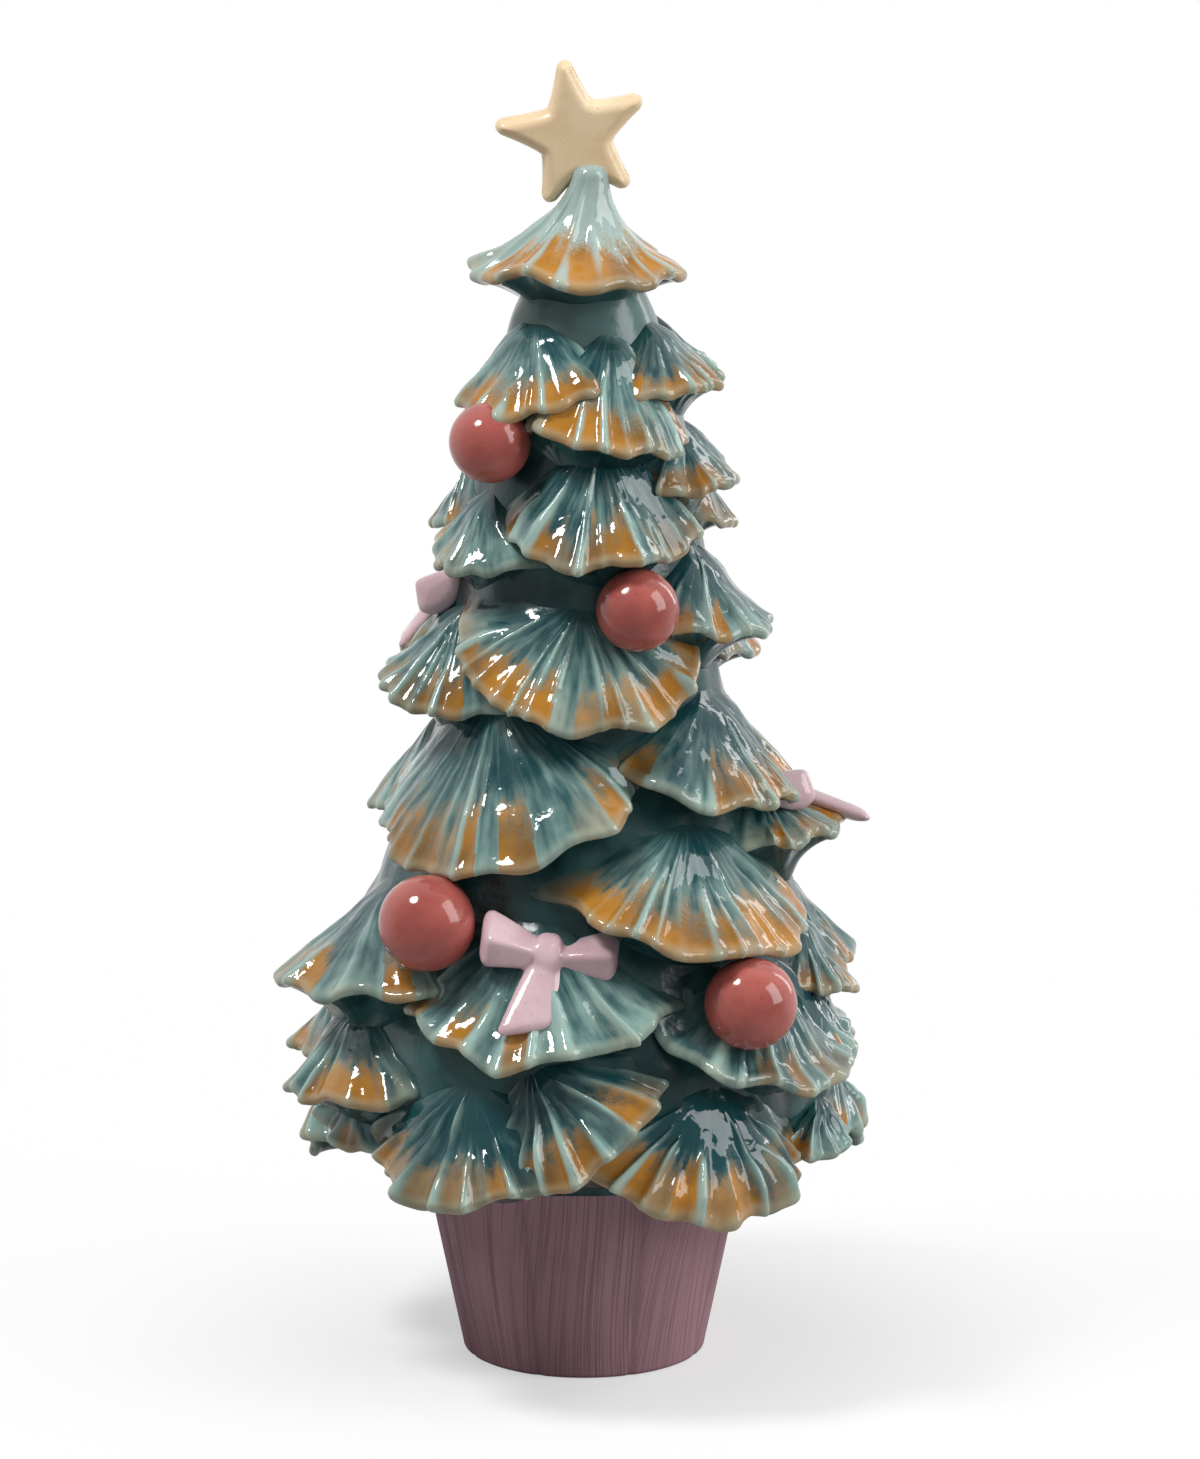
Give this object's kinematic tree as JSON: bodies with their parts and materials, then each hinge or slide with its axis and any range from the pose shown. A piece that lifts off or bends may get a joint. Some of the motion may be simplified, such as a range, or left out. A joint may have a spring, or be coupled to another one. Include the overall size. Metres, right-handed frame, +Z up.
{
  "type": "ceramic christmas tree",
  "caption": "Table-top Christmas tree in glazed porcelain: a hollow core in a staved pot, carrying fluted boughs, a crown, a star, baubles and ribbon bows.",
  "frame": {"origin": "centre of the pot's flat base, on the tree's axis", "axes": "+Z up along the tree, -Y towards the viewer of the front, +X to the viewer's right"},
  "size_m": [0.0884, 0.0935, 0.1897],
  "materials": {
    "green_glaze": "glossy teal glaze with ochre brushed on the lips",
    "red_glaze": "glossy dusty red glaze",
    "pink_glaze": "glossy pale pink glaze",
    "cream_glaze": "satin cream glaze",
    "mauve_bisque": "matt mauve bisque with a wood grain"
  },
  "bodies": {
    "root": {"bauble_back_lower": "red_glaze", "bauble_back_middle": "red_glaze", "bauble_back_upper": "red_glaze", "bauble_lower_left": "red_glaze", "bauble_lower_right": "red_glaze", "bauble_middle": "red_glaze", "bauble_upper_left": "red_glaze", "bough_2a": "green_glaze", "bough_2b": "green_glaze", "bough_2c": "green_glaze", "bough_2d": "green_glaze", "bough_2e": "green_glaze", "bough_3a": "green_glaze", "bough_3b": "green_glaze", "bough_3c": "green_glaze", "bough_3d": "green_glaze", "bough_3e": "green_glaze", "bough_3f": "green_glaze", "bough_4a": "green_glaze", "bough_4b": "green_glaze", "bough_4c": "green_glaze", "bough_4d": "green_glaze", "bough_4e": "green_glaze", "bough_4f": "green_glaze", "bough_5a": "green_glaze", "bough_5b": "green_glaze", "bough_5c": "green_glaze", "bough_5d": "green_glaze", "bough_5e": "green_glaze", "bough_5f": "green_glaze", "bough_6a": "green_glaze", "bough_6b": "green_glaze", "bough_6c": "green_glaze", "bough_6d": "green_glaze", "bough_6e": "green_glaze", "bough_6f": "green_glaze", "bough_7a": "green_glaze", "bough_7b": "green_glaze", "bough_7c": "green_glaze", "bough_7d": "green_glaze", "bough_7e": "green_glaze", "bough_7f": "green_glaze", "bough_7g": "green_glaze", "bough_8a": "green_glaze", "bough_8b": "green_glaze", "bough_8c": "green_glaze", "bough_8d": "green_glaze", "bough_8e": "green_glaze", "bough_8f": "green_glaze", "bough_8g": "green_glaze", "bough_8h": "green_glaze", "bough_8i": "green_glaze", "bow_back": "pink_glaze", "bow_front": "pink_glaze", "bow_left": "pink_glaze", "bow_right": "pink_glaze", "crown": "green_glaze", "pot": "mauve_bisque", "star": "cream_glaze", "tree_core": "green_glaze"}
  },
  "joints": []
}
